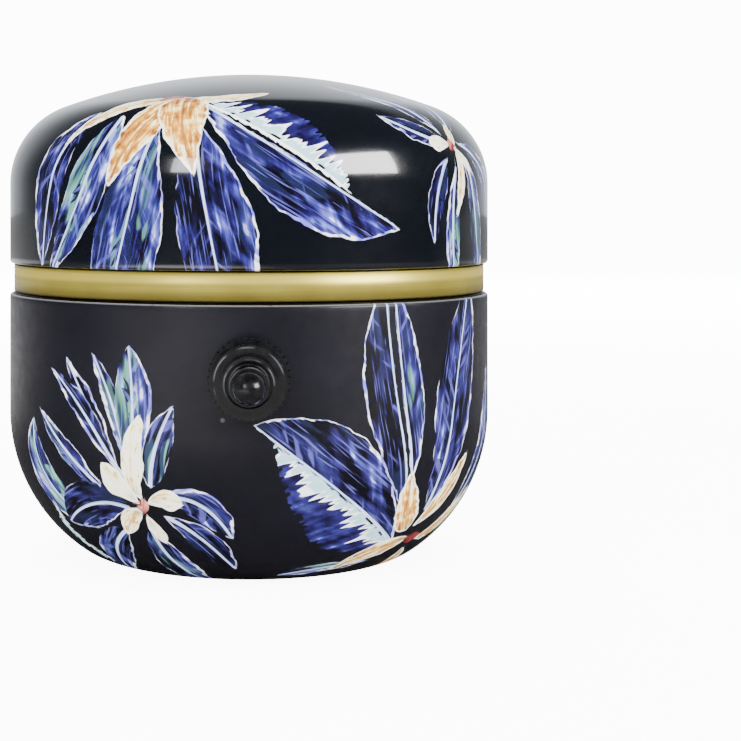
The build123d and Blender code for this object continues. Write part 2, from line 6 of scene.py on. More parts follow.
import bpy
import numpy as np
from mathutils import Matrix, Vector


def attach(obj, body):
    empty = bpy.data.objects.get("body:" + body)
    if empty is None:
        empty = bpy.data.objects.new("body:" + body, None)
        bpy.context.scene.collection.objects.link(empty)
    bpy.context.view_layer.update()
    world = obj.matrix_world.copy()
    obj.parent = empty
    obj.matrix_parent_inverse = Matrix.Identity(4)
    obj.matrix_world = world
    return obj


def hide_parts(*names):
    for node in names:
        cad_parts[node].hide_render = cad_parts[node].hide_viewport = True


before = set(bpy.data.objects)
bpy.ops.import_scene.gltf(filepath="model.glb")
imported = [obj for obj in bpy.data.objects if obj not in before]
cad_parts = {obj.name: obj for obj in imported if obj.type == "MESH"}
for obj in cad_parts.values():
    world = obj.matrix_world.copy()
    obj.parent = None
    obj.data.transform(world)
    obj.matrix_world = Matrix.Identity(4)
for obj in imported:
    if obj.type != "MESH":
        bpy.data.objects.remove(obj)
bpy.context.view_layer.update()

# ---- sizes, the same as the CAD's ----------------------------------------------------------------
TIN_R, HEIGHT, WALL = 42.5, 85.0, 0.5
FOOT, RIM_Z, LID_Z = 0.2, 46.4, 51.7
HEM_W, HEM_H = 1.1, 1.5
BASE_RING, CORNER_UP, CORNER_SWEEP = 24.0, 29.0, radians(54.4)
PANEL_R, PANEL_Z = 20.5, 2.0
CROWN, SHOULDER = 95.5, 14.4
KNOB_Z, SOCKET_Z = 35.3, 30.0

corner_centre_r = TIN_R - CORNER_UP
corner_low = (corner_centre_r + CORNER_UP * cos(CORNER_SWEEP) - BASE_RING) / cos(CORNER_SWEEP)
corner_split_z = FOOT + corner_low * (1 - sin(CORNER_SWEEP))
corner_centre_z = corner_split_z + CORNER_UP * sin(CORNER_SWEEP)
crown_centre_z = HEIGHT - CROWN
shoulder_r = TIN_R - SHOULDER
shoulder_rise = sqrt((CROWN - SHOULDER) ** 2 - shoulder_r**2)
shoulder_z = crown_centre_z + shoulder_rise
shoulder_turn = atan2(shoulder_rise, shoulder_r)

SEGMENTS = 480
STEP = 0.58  # mm between the rings of vertices that carry the print


# ---- profiles: (radius, height) against q, the distance along the surface from the lid's edge or body's rim
def lid_point(q, inset=0.0):
    side = shoulder_z - LID_Z
    turned = SHOULDER * shoulder_turn
    if q <= side:
        return TIN_R - inset, LID_Z + q
    if q <= side + turned:
        a = (q - side) / SHOULDER
        return shoulder_r + (SHOULDER - inset) * cos(a), shoulder_z + (SHOULDER - inset) * sin(a)
    a = min(shoulder_turn + (q - side - turned) / CROWN, pi / 2)
    return (CROWN - inset) * cos(a), crown_centre_z + (CROWN - inset) * sin(a)


LID_Q = shoulder_z - LID_Z + SHOULDER * shoulder_turn + CROWN * (pi / 2 - shoulder_turn)


def body_point(q, inset=0.0):
    side = RIM_Z - corner_centre_z
    upper = CORNER_UP * CORNER_SWEEP
    lower = corner_low * (pi / 2 - CORNER_SWEEP)
    if q <= side:
        return TIN_R - inset, RIM_Z - q
    if q <= side + upper:
        a = (q - side) / CORNER_UP
        return corner_centre_r + (CORNER_UP - inset) * cos(a), corner_centre_z - (CORNER_UP - inset) * sin(a)
    if q <= side + upper + lower:
        a = CORNER_SWEEP + (q - side - upper) / corner_low
        return BASE_RING + (corner_low - inset) * cos(a), FOOT + corner_low - (corner_low - inset) * sin(a)
    return max(BASE_RING - (q - side - upper - lower), 0), FOOT + inset


BODY_Q = RIM_Z - corner_centre_z + CORNER_UP * CORNER_SWEEP + corner_low * (pi / 2 - CORNER_SWEEP)


# ---- the print: a botanical design of leaves and flowers ------------------------------------------
# A shape is (layer, kind, tone, base, middle, tip, left, right, fullest, lit side). base, middle and tip are
# (degrees round the tin from the front, q in mm); left and right are the half widths in mm looking from base
# to tip; fullest is where along the shape it is widest; the lit side has the white outline.
LEAF, PLUME, PETAL, HEART = 0, 1, 2, 3
lid_print = [
    # left flower: leaves from the outside inwards
    (0, LEAF, 0.20, (-40, 27), (-49, 15), (-53, 0), 3.2, 4.4, 0.50, -1),
    (1, LEAF, 0.60, (-32, 26), (-38, 14), (-50, -1), 4.3, 3.4, 0.45, 1),
    (2, LEAF, 0.54, (-21, 24), (-26, 10), (-34, -12), 6.4, 5.6, 0.55, 1),
    (0, LEAF, 0.42, (-12, 24), (-9, 9), (-3, -12), 7.2, 5.2, 0.52, 1),
    (1, PLUME, 0.80, (-14, 30), (4, 21.5), (22, 12), 6.4, 0.3, 0.50, -1),
    (2, LEAF, 0.36, (-14, 30), (10, 17), (34, 6.5), 0.3, 7.9, 0.62, -1),
    # its petals
    (3, PETAL, 0.28, (-19, 31), (-26, 22), (-32, 13), 3.2, 3.2, 0.38, -1),
    (4, PETAL, 0.29, (-17.5, 31.5), (-16, 25), (-11.5, 14.5), 4.1, 3.9, 0.26, 1),
    (3, PETAL, 0.60, (-20, 31), (-34, 28), (-47, 20), 1.3, 1.5, 0.40, 1),
    (3, PETAL, 0.65, (-18, 31), (-6, 31), (6, 34), 1.8, 1.4, 0.50, 1),
    (4, HEART, 0.50, (-25, 30), (-21, 31.5), (-17, 31), 1.3, 1.0, 0.50, 1),
    # right flower
    (0, LEAF, 0.10, (52, 21), (44, 22), (33, 26), 1.8, 2.3, 0.45, 1),
    (1, LEAF, 0.40, (51, 18), (46.5, 13), (45, 4), 2.2, 2.2, 0.50, -1),
    (2, LEAF, 0.60, (54, 18), (52, 8), (53, -4), 2.2, 2.0, 0.60, -1),
    (0, LEAF, 0.50, (57, 19), (63, 10), (66, -4), 2.6, 2.6, 0.55, 1),
    (1, LEAF, 0.45, (57, 21), (72, 14), (80, 0), 2.8, 2.6, 0.55, 1),
    (0, LEAF, 0.45, (55, 22), (60, 30), (56, 42), 2.8, 2.6, 0.50, 1),
    (1, LEAF, 0.55, (52, 22), (44, 30), (30, 40), 2.2, 2.0, 0.50, 1),
    (3, PETAL, 0.90, (54, 20), (50, 20.5), (45.5, 20.5), 1.5, 1.5, 0.60, 1),
    (4, PETAL, 0.85, (55, 20), (56, 22), (57, 24.5), 1.1, 1.1, 0.50, 1),
    (4, PETAL, 0.90, (55, 20), (58, 18), (61, 15.5), 1.0, 1.0, 0.50, 1),
    (3, PETAL, 0.80, (55, 19), (56, 14), (53.5, 8), 1.2, 1.2, 0.45, 1),
    (4, HEART, 0.30, (53.4, 19.3), (54.8, 20.5), (56, 21), 1.0, 1.0, 0.50, 1),
]
body_print = [
    # left flower
    (0, LEAF, 0.75, (-40, 38), (-54, 30), (-57, 19.5), 4.2, 3.4, 0.50, 1),
    (1, LEAF, 0.48, (-33, 31), (-43, 25), (-54, 18), 1.7, 1.8, 0.50, -1),
    (2, LEAF, 0.34, (-28, 28), (-38, 18), (-49, 11), 1.7, 1.8, 0.55, 1),
    (0, LEAF, 0.28, (-28, 28), (-36, 18), (-44, 9), 1.6, 1.8, 0.60, -1),
    (1, LEAF, 0.50, (-26, 28), (-30, 17), (-36, 8), 1.5, 1.6, 0.60, 1),
    (2, LEAF, 0.60, (-26, 29), (-25.5, 17), (-26.5, 6.5), 3.2, 3.4, 0.62, -1),
    (0, LEAF, 0.62, (-22, 29), (-20, 22), (-16, 15.5), 2.5, 2.8, 0.45, 1),
    (1, LEAF, 0.40, (-28, 33), (-39, 33), (-52, 38), 4.2, 4.4, 0.50, 1),
    (2, LEAF, 0.30, (-20, 31), (-11, 31.5), (-4, 38), 2.6, 2.8, 0.55, 1),
    (0, LEAF, 0.42, (-20, 34), (-12, 38), (-4, 46), 2.6, 2.6, 0.55, 1),
    (1, LEAF, 0.55, (-24, 36), (-21, 45), (-12, 54), 3.0, 3.0, 0.50, 1),
    (2, LEAF, 0.45, (-30, 37), (-39, 43), (-44, 52), 3.2, 3.4, 0.50, 1),
    (0, PETAL, 0.45, (-54, 33), (-54, 42), (-38, 52), 1.0, 1.4, 0.45, 1),
    (3, PETAL, 0.95, (-24.5, 31), (-26, 25), (-23.5, 17), 2.0, 1.9, 0.48, -1),
    (4, PETAL, 0.92, (-25.2, 32), (-30, 29), (-34, 25.5), 2.1, 2.1, 0.60, 1),
    (3, PETAL, 0.95, (-23.5, 32), (-19, 31), (-14.8, 31.5), 1.8, 1.8, 0.60, -1),
    (4, PETAL, 0.70, (-25, 33), (-28.5, 35), (-31.5, 38.5), 1.6, 1.8, 0.50, 1),
    (3, PETAL, 0.90, (-24, 34), (-22.5, 37), (-21, 40), 1.2, 1.2, 0.50, 1),
    (4, HEART, 0.35, (-25.5, 34), (-24.6, 32.5), (-24, 31), 0.8, 0.8, 0.50, 1),
    # right flower
    (0, LEAF, 0.24, (40, 35), (33.5, 15), (30.5, -4), 6.0, 0.35, 0.54, 1),
    (1, LEAF, 0.56, (39, 29), (35.5, 14), (33, -2), 0.35, 4.3, 0.52, -1),
    (0, LEAF, 0.30, (47.5, 35.5), (52.5, 17), (60, -4), 5.2, 5.8, 0.52, -1),
    (1, LEAF, 0.44, (62, 37), (71, 26), (74, 12), 3.4, 3.2, 0.50, 1),
    (2, LEAF, 0.30, (41, 41.5), (18.5, 28.5), (1, 18.5), 0.3, 8.8, 0.58, -1),
    (1, PLUME, 0.85, (41, 41.5), (20.5, 29.5), (5, 20.5), 9.2, 0.3, 0.42, 1),
    (2, LEAF, 0.70, (38, 46), (20, 47), (8, 49), 1.4, 1.4, 0.50, 1),
    (3, PETAL, 0.50, (44, 39), (40.5, 34), (38.5, 27), 2.6, 2.6, 0.34, 1),
    (4, PETAL, 0.45, (46, 38.5), (53, 33), (60, 25.5), 1.8, 2.2, 0.50, 1),
    (3, PETAL, 0.45, (47, 41), (34, 44), (24, 48), 2.0, 2.0, 0.40, 1),
    (3, PETAL, 0.50, (51, 42), (60, 40), (72, 33), 2.0, 2.0, 0.50, 1),
    (4, PETAL, 0.40, (50, 44), (52, 50), (50, 58), 2.4, 2.4, 0.50, 1),
    (4, HEART, 0.20, (46, 41), (49, 41.5), (53, 41), 1.5, 1.5, 0.50, 1),
]
LAYERS, FIRST_PETALS = 5, 3  # the leaves' layers are under the petals' layers
OUTSIDE = -6.0
BACK = 180  # degrees between the front's print and its repeat on the back


def carried(shapes, turn):
    """The same shapes further round the tin, so that the back is printed too."""
    moved = []
    for layer, kind, tone, *points, left, right, fullest, lit in shapes:
        points = [(angle + turn, q) for angle, q in points]
        moved.append((layer, kind, tone, *points, left, right, fullest, lit))
    return moved


def shape_rib(base, middle, tip, place):
    """A shape's midrib on the surface: points, directions, the surface's normals and the length so far."""
    t = np.linspace(0, 1, 61)
    base, middle, tip = (np.array(point, dtype=float) for point in (base, middle, tip))
    bend = 2 * middle - (base + tip) / 2
    path = np.outer((1 - t) ** 2, base) + np.outer(2 * t * (1 - t), bend) + np.outer(t**2, tip)
    turn = np.radians(path[:, 0])
    rz = np.array([place(q) for q in path[:, 1]])
    rib = np.column_stack((rz[:, 0] * np.sin(turn), -rz[:, 0] * np.cos(turn), rz[:, 1]))
    run = np.gradient(rib, axis=0)
    run /= np.linalg.norm(run, axis=1)[:, None]
    slope = np.array([place(q + 0.05) for q in path[:, 1]]) - np.array([place(q - 0.05) for q in path[:, 1]])
    slope *= 1 if place(1.0)[1] > place(0.0)[1] else -1
    out = np.column_stack((slope[:, 1] * np.sin(turn), -slope[:, 1] * np.cos(turn), -slope[:, 0]))
    out /= np.linalg.norm(out, axis=1)[:, None]
    along = np.concatenate(([0], np.cumsum(np.linalg.norm(np.diff(rib, axis=0), axis=1))))
    return rib, run, out, along


def print_fields(points, place, shapes):
    """Per vertex and layer: how far inside the shape, distance from and along its midrib, kind and tone."""
    fields = np.zeros((LAYERS, len(points), 4), dtype=np.float32)
    fields[:, :, 0] = OUTSIDE
    for layer, kind, tone, base, middle, tip, left, right, fullest, lit in shapes:
        rib, run, out, along = shape_rib(base, middle, tip, place)
        side = np.cross(out, run)
        reach = along[-1] * 0.6 + left + right + 3
        near = np.where(np.linalg.norm(points - rib[len(rib) // 2], axis=1) < reach)[0]
        if not len(near):
            continue
        gap = np.linalg.norm(points[near, None, :] - rib[None, :, :], axis=2)
        k = gap.argmin(axis=1)
        away = points[near] - rib[k]
        across = np.einsum("ij,ij->i", away, side[k])
        forward = np.clip(along[k] + np.einsum("ij,ij->i", away, run[k]), 0, along[-1])
        swell = np.sin(pi * (forward / along[-1]) ** (np.log(0.5) / np.log(fullest))) ** 0.8
        half = np.where(across > 0, left, right) * swell
        at_end = (k == 0) | (k == len(rib) - 1)
        inside = half - np.where(at_end, gap.min(axis=1), np.abs(across))
        better = inside > fields[layer, near, 0]
        rows = near[better]
        values = (inside, across * lit, forward, np.full(len(near), kind + 0.98 * tone))
        fields[layer, rows] = np.column_stack(values)[better]
    return fields


# ---- meshes made by turning a profile round the tin's axis ----------------------------------------
def turned(name, profile, printed_rows, closed=False, holes=()):
    """A mesh of revolution from (radius, height) points in mm. The first printed_rows rows face outwards
    and carry
    the print; faces beyond them get the second material. Points on the axis become one vertex."""
    angle = np.arange(SEGMENTS) * 2 * pi / SEGMENTS
    rows, verts = [], []
    for r, z in profile:
        if r < 1e-6:
            rows.append([len(verts)] * SEGMENTS)
            verts.append((0, 0, z))
        else:
            rows.append(list(range(len(verts), len(verts) + SEGMENTS)))
            verts += [(r * sin(a), -r * cos(a), z) for a in angle]
    points = np.array(verts)
    faces, inner = [], []
    pairs = list(zip(rows, rows[1:])) + ([(rows[-1], rows[0])] if closed else [])
    for row, (upper, lower) in enumerate(pairs):
        for i in range(SEGMENTS):
            j = (i + 1) % SEGMENTS
            corners = [upper[i], lower[i], lower[j], upper[j]]
            face = [c for n, c in enumerate(corners) if c not in corners[:n]]
            middle = points[face].mean(axis=0)
            if any(middle[1] * y > 0 and hypot(middle[0], middle[2] - z) < radius for y, z, radius in holes):
                continue
            faces.append(face)
            inner.append(row >= printed_rows - 1)
    mesh = bpy.data.meshes.new(name)
    mesh.from_pydata([Vector(v) / 1000 for v in verts], [], faces)
    mesh.polygons.foreach_set("material_index", np.array(inner, dtype=np.int32))
    mesh.shade_smooth()
    piece = bpy.data.objects.new(name, mesh)
    bpy.context.scene.collection.objects.link(piece)
    outer = sum(1 if r < 1e-6 else SEGMENTS for r, z in profile[:printed_rows])
    return piece, points[:outer]


def printed(piece, points, place, shapes):
    """Stores the print's fields on the vertices. Only the outer ones, which come first, have any print."""
    fields = print_fields(points, place, shapes)
    for layer in range(LAYERS):
        data = np.zeros((len(piece.data.vertices), 4), dtype=np.float32)
        data[:, 0] = OUTSIDE
        data[: len(points)] = fields[layer]
        attribute = piece.data.attributes.new(f"print_{layer}", "FLOAT_COLOR", "POINT")
        attribute.data.foreach_set("color", data.ravel())


# ---- shader building ------------------------------------------------------------------------------
class Nodes:
    """Short calls for building one node tree."""

    def __init__(self, tree):
        self.tree = tree

    def add(self, kind, **settings):
        node = self.tree.nodes.new(kind)
        for name, value in settings.items():
            setattr(node, name, value)
        return node

    def put(self, socket, value):
        if isinstance(value, bpy.types.NodeSocket):
            self.tree.links.new(value, socket)
        else:
            socket.default_value = value

    def math(self, operation, a, b=0.0, c=0.0):
        node = self.add("ShaderNodeMath", operation=operation)
        for socket, value in zip(node.inputs, (a, b, c)):
            self.put(socket, value)
        return node.outputs[0]

    def total(self, *values):
        """The sum of several values."""
        result = values[0]
        for value in values[1:]:
            result = self.math("ADD", result, value)
        return result

    def all_of(self, *shares):
        """The product of several shares."""
        result = shares[0]
        for share in shares[1:]:
            result = self.math("MULTIPLY", result, share)
        return result

    def no(self, share):
        return self.math("SUBTRACT", 1.0, share)

    def swing(self, value, size):
        """A noise value's distance from its middle, times size."""
        return self.math("MULTIPLY_ADD", value, size, -0.5 * size)

    def step(self, value, low, high):
        """0 below low, 1 above high, smooth between."""
        node = self.add("ShaderNodeMapRange", interpolation_type="SMOOTHSTEP")
        for socket, number in zip(node.inputs, (value, low, high, 0.0, 1.0)):
            self.put(socket, number)
        return node.outputs[0]

    def line(self, distance, half_width, soft=0.1):
        """1 within half_width of a line, 0 beyond it."""
        return self.no(self.step(distance, half_width, self.math("ADD", half_width, soft)))

    def vector(self, x, y, z):
        node = self.add("ShaderNodeCombineXYZ")
        for socket, value in zip(node.inputs, (x, y, z)):
            self.put(socket, value)
        return node.outputs[0]

    def parts(self, vector):
        node = self.add("ShaderNodeSeparateXYZ")
        self.put(node.inputs[0], vector)
        return node.outputs

    def distance(self, a, b):
        node = self.add("ShaderNodeVectorMath", operation="DISTANCE")
        self.put(node.inputs[0], a)
        self.put(node.inputs[1], b)
        return node.outputs["Value"]

    def noise(self, where, scale=1.0, detail=2.0, rough=0.5, warp=0.0):
        node = self.add("ShaderNodeTexNoise")
        self.put(node.inputs["Vector"], where)
        for name, value in (("Scale", scale), ("Detail", detail), ("Roughness", rough), ("Distortion", warp)):
            node.inputs[name].default_value = value
        return node.outputs[0]

    def mix(self, share, a, b):
        node = self.add("ShaderNodeMix", data_type="RGBA")
        self.put(node.inputs[0], share)
        for socket, value in ((node.inputs[6], a), (node.inputs[7], b)):
            self.put(socket, (*value, 1.0) if isinstance(value, tuple) else value)
        return node.outputs[2]

    def ramp(self, share, *stops):
        node = self.add("ShaderNodeValToRGB")
        band = node.color_ramp
        while len(band.elements) < len(stops):
            band.elements.new(1.0)
        for element, (place, colour) in zip(band.elements, stops):
            element.position = place
            element.color = (*colour, 1.0)
        self.put(node.inputs[0], share)
        return node.outputs[0]


def srgb(red, green, blue):
    """A paint given on the 0 to 255 scale, as the linear numbers that a shader takes."""
    scaled = (value / 255 for value in (red, green, blue))
    return tuple(v / 12.92 if v <= 0.04045 else ((v + 0.055) / 1.055) ** 2.4 for v in scaled)


BLACK, NAVY, COBALT, ROYAL = srgb(6, 5, 13), srgb(14, 9, 40), srgb(24, 19, 70), srgb(36, 32, 97)
CORNFLOWER, PERIWINKLE = srgb(49, 53, 119), srgb(67, 70, 143)
LILAC, FROST = srgb(107, 108, 205), srgb(195, 212, 255)
WHITE, MINT, TEAL, DEEP_TEAL = srgb(250, 250, 255), srgb(122, 191, 159), srgb(44, 66, 96), srgb(28, 39, 61)
IVORY, CREAM = srgb(252, 250, 234), srgb(248, 238, 172)
PEACH, APRICOT = srgb(225, 160, 62), srgb(174, 112, 40)
RUST, WINE, RED, ROSE = srgb(117, 62, 36), srgb(73, 23, 27), srgb(131, 39, 40), srgb(212, 135, 119)
LID_GROUND, BODY_GROUND, MARK = srgb(4, 6, 11), srgb(13, 12, 19), srgb(66, 65, 74)
BARE_DARK, BARE_PALE = srgb(120, 120, 120), srgb(190, 190, 188)


def leaf_colour(n, away, lit, along, edge, tone, seed):
    """Watercolour blues: dark hollows, pale washes, streaks, a white midrib and a broken white outline."""
    vein = n.math("MULTIPLY_ADD", away, -1.1, along)
    flow = n.noise(n.vector(n.math("MULTIPLY", along, 0.10), n.math("MULTIPLY", away, 0.62), seed), 1.0,
                   2.0, 0.55, 0.7)
    strokes = n.noise(n.vector(n.math("MULTIPLY", vein, 0.42), n.math("MULTIPLY", away, 0.12), seed), 1.0,
                      2.0, 0.5, 0.4)
    far = n.math("ADD", seed, 19.0)
    patches = n.noise(n.vector(n.math("MULTIPLY", vein, 0.13), n.math("MULTIPLY", away, 0.26), far), 1.0,
                      1.5, 0.5, 0.8)
    streaks = n.noise(n.vector(n.math("MULTIPLY", along, 0.13), n.math("MULTIPLY", away, 2.1), far), 1.0,
                      1.0, 0.5, 0.5)
    light = n.math("MULTIPLY_ADD", tone, 0.72, 0.02)
    shade = n.total(n.swing(flow, 2.0), n.swing(strokes, 1.1), n.swing(patches, 2.2), light)
    colour = n.ramp(
        shade, (0.04, BLACK), (0.18, NAVY), (0.34, COBALT), (0.52, ROYAL), (0.64, CORNFLOWER),
        (0.76, PERIWINKLE),
        (0.90, LILAC), (1.04, FROST),
    )
    wash_place = n.vector(n.math("MULTIPLY", along, 0.10), n.math("MULTIPLY", away, 0.40),
                          n.math("ADD", seed, 37.0))
    washes = n.noise(wash_place, 1.0, 1.0, 0.5, 0.6)
    minted = n.all_of(n.step(washes, 0.53, 0.58), n.step(tone, 0.40, 0.72), 0.8)
    colour = n.mix(minted, colour, n.mix(n.step(flow, 0.40, 0.56), TEAL, MINT))
    colour = n.mix(n.all_of(n.no(n.step(washes, 0.38, 0.46)), 0.6), colour, n.mix(flow, DEEP_TEAL, COBALT))
    hollow_width = n.math("ADD", n.swing(strokes, 7.0), 1.1)
    hollow = n.all_of(n.line(away, hollow_width, 0.2), n.step(patches, 0.50, 0.54))
    colour = n.mix(n.all_of(hollow, n.math("MULTIPLY_ADD", lit, -0.5, 0.95)), colour, BLACK)
    dashes = n.all_of(n.step(strokes, 0.56, 0.62), n.no(n.step(away, 1.6, 4.0)),
                      n.step(patches, 0.44, 0.52), 0.38)
    colour = n.mix(n.math("MAXIMUM", dashes, n.all_of(n.step(streaks, 0.58, 0.72), 0.45)), colour, LILAC)
    rib_width = n.math("MAXIMUM", n.math("MULTIPLY_ADD", along, -0.011, 0.28), 0.08)
    colour = n.mix(n.all_of(n.line(away, rib_width, 0.14),
                            n.math("MULTIPLY_ADD", n.step(flow, 0.40, 0.48), 0.4, 0.55)), colour, FROST)
    rim_room = n.all_of(n.math("ADD", n.swing(flow, 2.2), 0.26), n.math("MULTIPLY_ADD", lit, 0.80, 0.20))
    rim_width = n.math("MAXIMUM", rim_room, 0.04)
    rim_shown = n.math("MAXIMUM", n.all_of(lit, 0.92), n.all_of(n.step(flow, 0.46, 0.54), 0.6))
    return n.mix(n.all_of(n.line(edge, rim_width, 0.14), rim_shown), colour,
                 n.mix(n.step(strokes, 0.38, 0.6), LILAC, WHITE))


def plume_colour(n, away, along, seed):
    """A feathered half leaf: a mint core whose white teeth run out into deep blue."""
    vein = n.math("MULTIPLY_ADD", away, -0.55, along)
    teeth = n.noise(n.vector(n.math("MULTIPLY", vein, 0.85), n.math("MULTIPLY", away, 0.05), seed), 1.0,
                    1.0, 0.4)
    reach = n.math("ADD", n.swing(teeth, 11.0), 2.5)
    blots = n.noise(n.vector(n.math("MULTIPLY", vein, 0.5), n.math("MULTIPLY", away, 0.5), seed), 1.0, 2.0)
    shade = n.total(n.swing(teeth, 1.3), n.swing(blots, 1.6), 0.42)
    blue = n.ramp(shade, (0.10, NAVY), (0.32, COBALT), (0.55, ROYAL), (0.75, CORNFLOWER), (0.95, LILAC))
    white_edge = n.all_of(n.line(away, reach, 0.3), 0.95)
    colour = n.mix(white_edge, blue, WHITE)
    core = n.line(away, n.math("SUBTRACT", n.math("MINIMUM", reach, 3.2), 0.8), 0.5)
    colour = n.mix(core, colour, n.mix(blots, MINT, FROST))
    near_rib = n.all_of(n.line(away, 0.6, 0.3), n.step(blots, 0.52, 0.58))
    colour = n.mix(near_rib, colour, BLACK)
    return n.mix(n.line(away, 0.24), colour, WHITE)


def petal_colour(n, away, along, edge, tone, seed):
    """Cream to apricot, deeper towards the base and along the middle, with an ivory outline."""
    flow = n.noise(n.vector(n.math("MULTIPLY", along, 0.22), n.math("MULTIPLY", away, 1.1), seed), 1.0,
                   3.0, 0.6, 0.5)
    strokes = n.noise(n.vector(n.math("MULTIPLY", along, 0.7), n.math("MULTIPLY", away, 0.5), seed), 1.0, 3.0)
    shade = n.total(n.swing(flow, 2.4), n.swing(strokes, 1.0), n.math("MULTIPLY_ADD", tone, 0.8, 0.18))
    colour = n.ramp(shade, (0.02, RUST), (0.28, APRICOT), (0.52, PEACH), (0.74, CREAM), (0.95, IVORY))
    colour = n.mix(n.all_of(n.no(n.step(along, 0.5, 3.4)), 0.5), colour, RUST)
    crease = n.all_of(n.line(away, 0.07, 0.16), n.step(flow, 0.46, 0.52), n.no(n.step(tone, 0.6, 0.9)))
    colour = n.mix(n.all_of(crease, 0.8), colour, RUST)
    rim_width = n.math("ADD", n.swing(strokes, 1.6), 0.32)
    return n.mix(n.all_of(n.line(edge, rim_width, 0.2), 0.9), colour, IVORY)


def print_group(name, petals):
    """One layer of the print over the colour under it: leaves, or petals and hearts."""
    tree = bpy.data.node_groups.new(name, "ShaderNodeTree")
    for socket, kind in (("Field", "NodeSocketVector"), ("Code", "NodeSocketFloat"),
                         ("Under", "NodeSocketColor")):
        tree.interface.new_socket(socket, in_out="INPUT", socket_type=kind)
    tree.interface.new_socket("Colour", in_out="OUTPUT", socket_type="NodeSocketColor")
    n = Nodes(tree)
    into, out = n.add("NodeGroupInput"), n.add("NodeGroupOutput")
    inside, across, along = n.parts(into.outputs["Field"])
    code = into.outputs["Code"]
    kind, tone = n.math("FLOOR", code), n.math("FRACT", code)
    away = n.math("ABSOLUTE", across)
    lit = n.step(across, -0.12, 0.12)
    seed = n.math("MULTIPLY_ADD", code, 41.0, n.math("MULTIPLY", lit, 7.0))
    wobble = n.noise(n.vector(n.math("MULTIPLY", along, 0.28), lit, seed), 1.0, 2.0, 0.5)
    edge = n.math("ADD", inside, n.swing(wobble, 1.6))
    if petals:
        is_heart = n.math("GREATER_THAN", kind, PETAL + 0.5)
        heart = n.ramp(wobble, (0.38, WINE), (0.50, RED), (0.64, ROSE))
        colour = n.mix(is_heart, petal_colour(n, away, along, edge, tone, seed), heart)
    else:
        is_plume = n.math("GREATER_THAN", kind, LEAF + 0.5)
        tooth = n.math("MULTIPLY_ADD", away, -0.6, n.math("MULTIPLY", along, 1.1))
        comb = n.noise(n.vector(tooth, 0.3, seed), 1.0, 1.0, 0.4)
        edge = n.math("SUBTRACT", edge, n.all_of(n.step(comb, 0.45, 0.62), is_plume, 0.9))
        colour = leaf_colour(n, away, lit, along, edge, tone, seed)
        colour = n.mix(is_plume, colour, plume_colour(n, away, along, seed))
    n.put(out.inputs[0], n.mix(n.step(edge, -0.06, 0.08), into.outputs["Under"], colour))
    return tree


# ---- grains: each gives a value around 0.5 from the place in mm -----------------------------------
def speckled(size, warp=0.0):
    """Fine even grain, as on moulded, pressed or sintered stuff, with features of this size in mm."""
    return lambda n, place: n.noise(place, 1 / size, 3.0, 0.6, warp)


def ringed(pitch, centre=(0.0, 0.0)):
    """Marks left by turning on a lathe round the vertical through centre: fine rings."""
    def grain(n, place):
        x, y, z = n.parts(place)
        radius = n.distance(n.vector(x, y, 0.0), (*centre, 0.0))
        return n.noise(n.vector(n.math("DIVIDE", radius, pitch), n.math("MULTIPLY", z, 0.3), 0.0), 1.0,
                       3.0, 0.7)
    return grain


def brushed_round(pitch):
    """Marks that run round the vertical axis, as on spun or rolled metal: fine level lines."""
    def grain(n, place):
        x, y, z = n.parts(place)
        return n.noise(n.vector(n.math("MULTIPLY", x, 0.05), n.math("MULTIPLY", y, 0.05),
                                n.math("DIVIDE", z, pitch)), 1.0, 4.0, 0.6)
    return grain


def stacked(pitch):
    """Level sheets laid on each other."""
    def grain(n, place):
        height = n.math("FRACT", n.math("DIVIDE", n.parts(place)[2], pitch))
        return n.math("ADD", n.step(height, 0.0, 0.3), n.swing(n.noise(place, 2.0), 0.6))
    return grain


def wound(wire):
    """Layers of wire round a pole: bands at even distances from the vertical axis."""
    def grain(n, place):
        x, y, z = n.parts(place)
        radius = n.distance(n.vector(x, y, 0.0), (0.0, 0.0, 0.0))
        return n.math("MULTIPLY_ADD", n.math("SINE", n.math("MULTIPLY", radius, 2 * pi / wire)), 0.5, 0.5)
    return grain


def traced(size):
    """Copper tracks under a board's solder mask: thin ways between cells."""
    def grain(n, place):
        node = n.add("ShaderNodeTexVoronoi", feature="DISTANCE_TO_EDGE", distance="MANHATTAN")
        n.put(node.inputs["Vector"], place)
        node.inputs["Scale"].default_value = 1 / size
        return n.line(node.outputs["Distance"], 0.09, 0.04)
    return grain


# ---- materials --------------------------------------------------------------------------------------
def finished(name):
    """A new material with its node helper, its Principled shader and the object position in mm."""
    material = bpy.data.materials.new(name)
    material.use_nodes = True
    n = Nodes(material.node_tree)
    place = n.add("ShaderNodeVectorMath", operation="SCALE")
    n.put(place.inputs[0], n.add("ShaderNodeTexCoord").outputs["Object"])
    place.inputs["Scale"].default_value = 1000.0
    return material, n, material.node_tree.nodes["Principled BSDF"], place.outputs[0]


def bumped(n, shader, height, depth_mm):
    node = n.add("ShaderNodeBump")
    node.inputs["Distance"].default_value = depth_mm / 1000
    n.put(node.inputs["Height"], height)
    n.put(shader.inputs["Normal"], node.outputs[0])


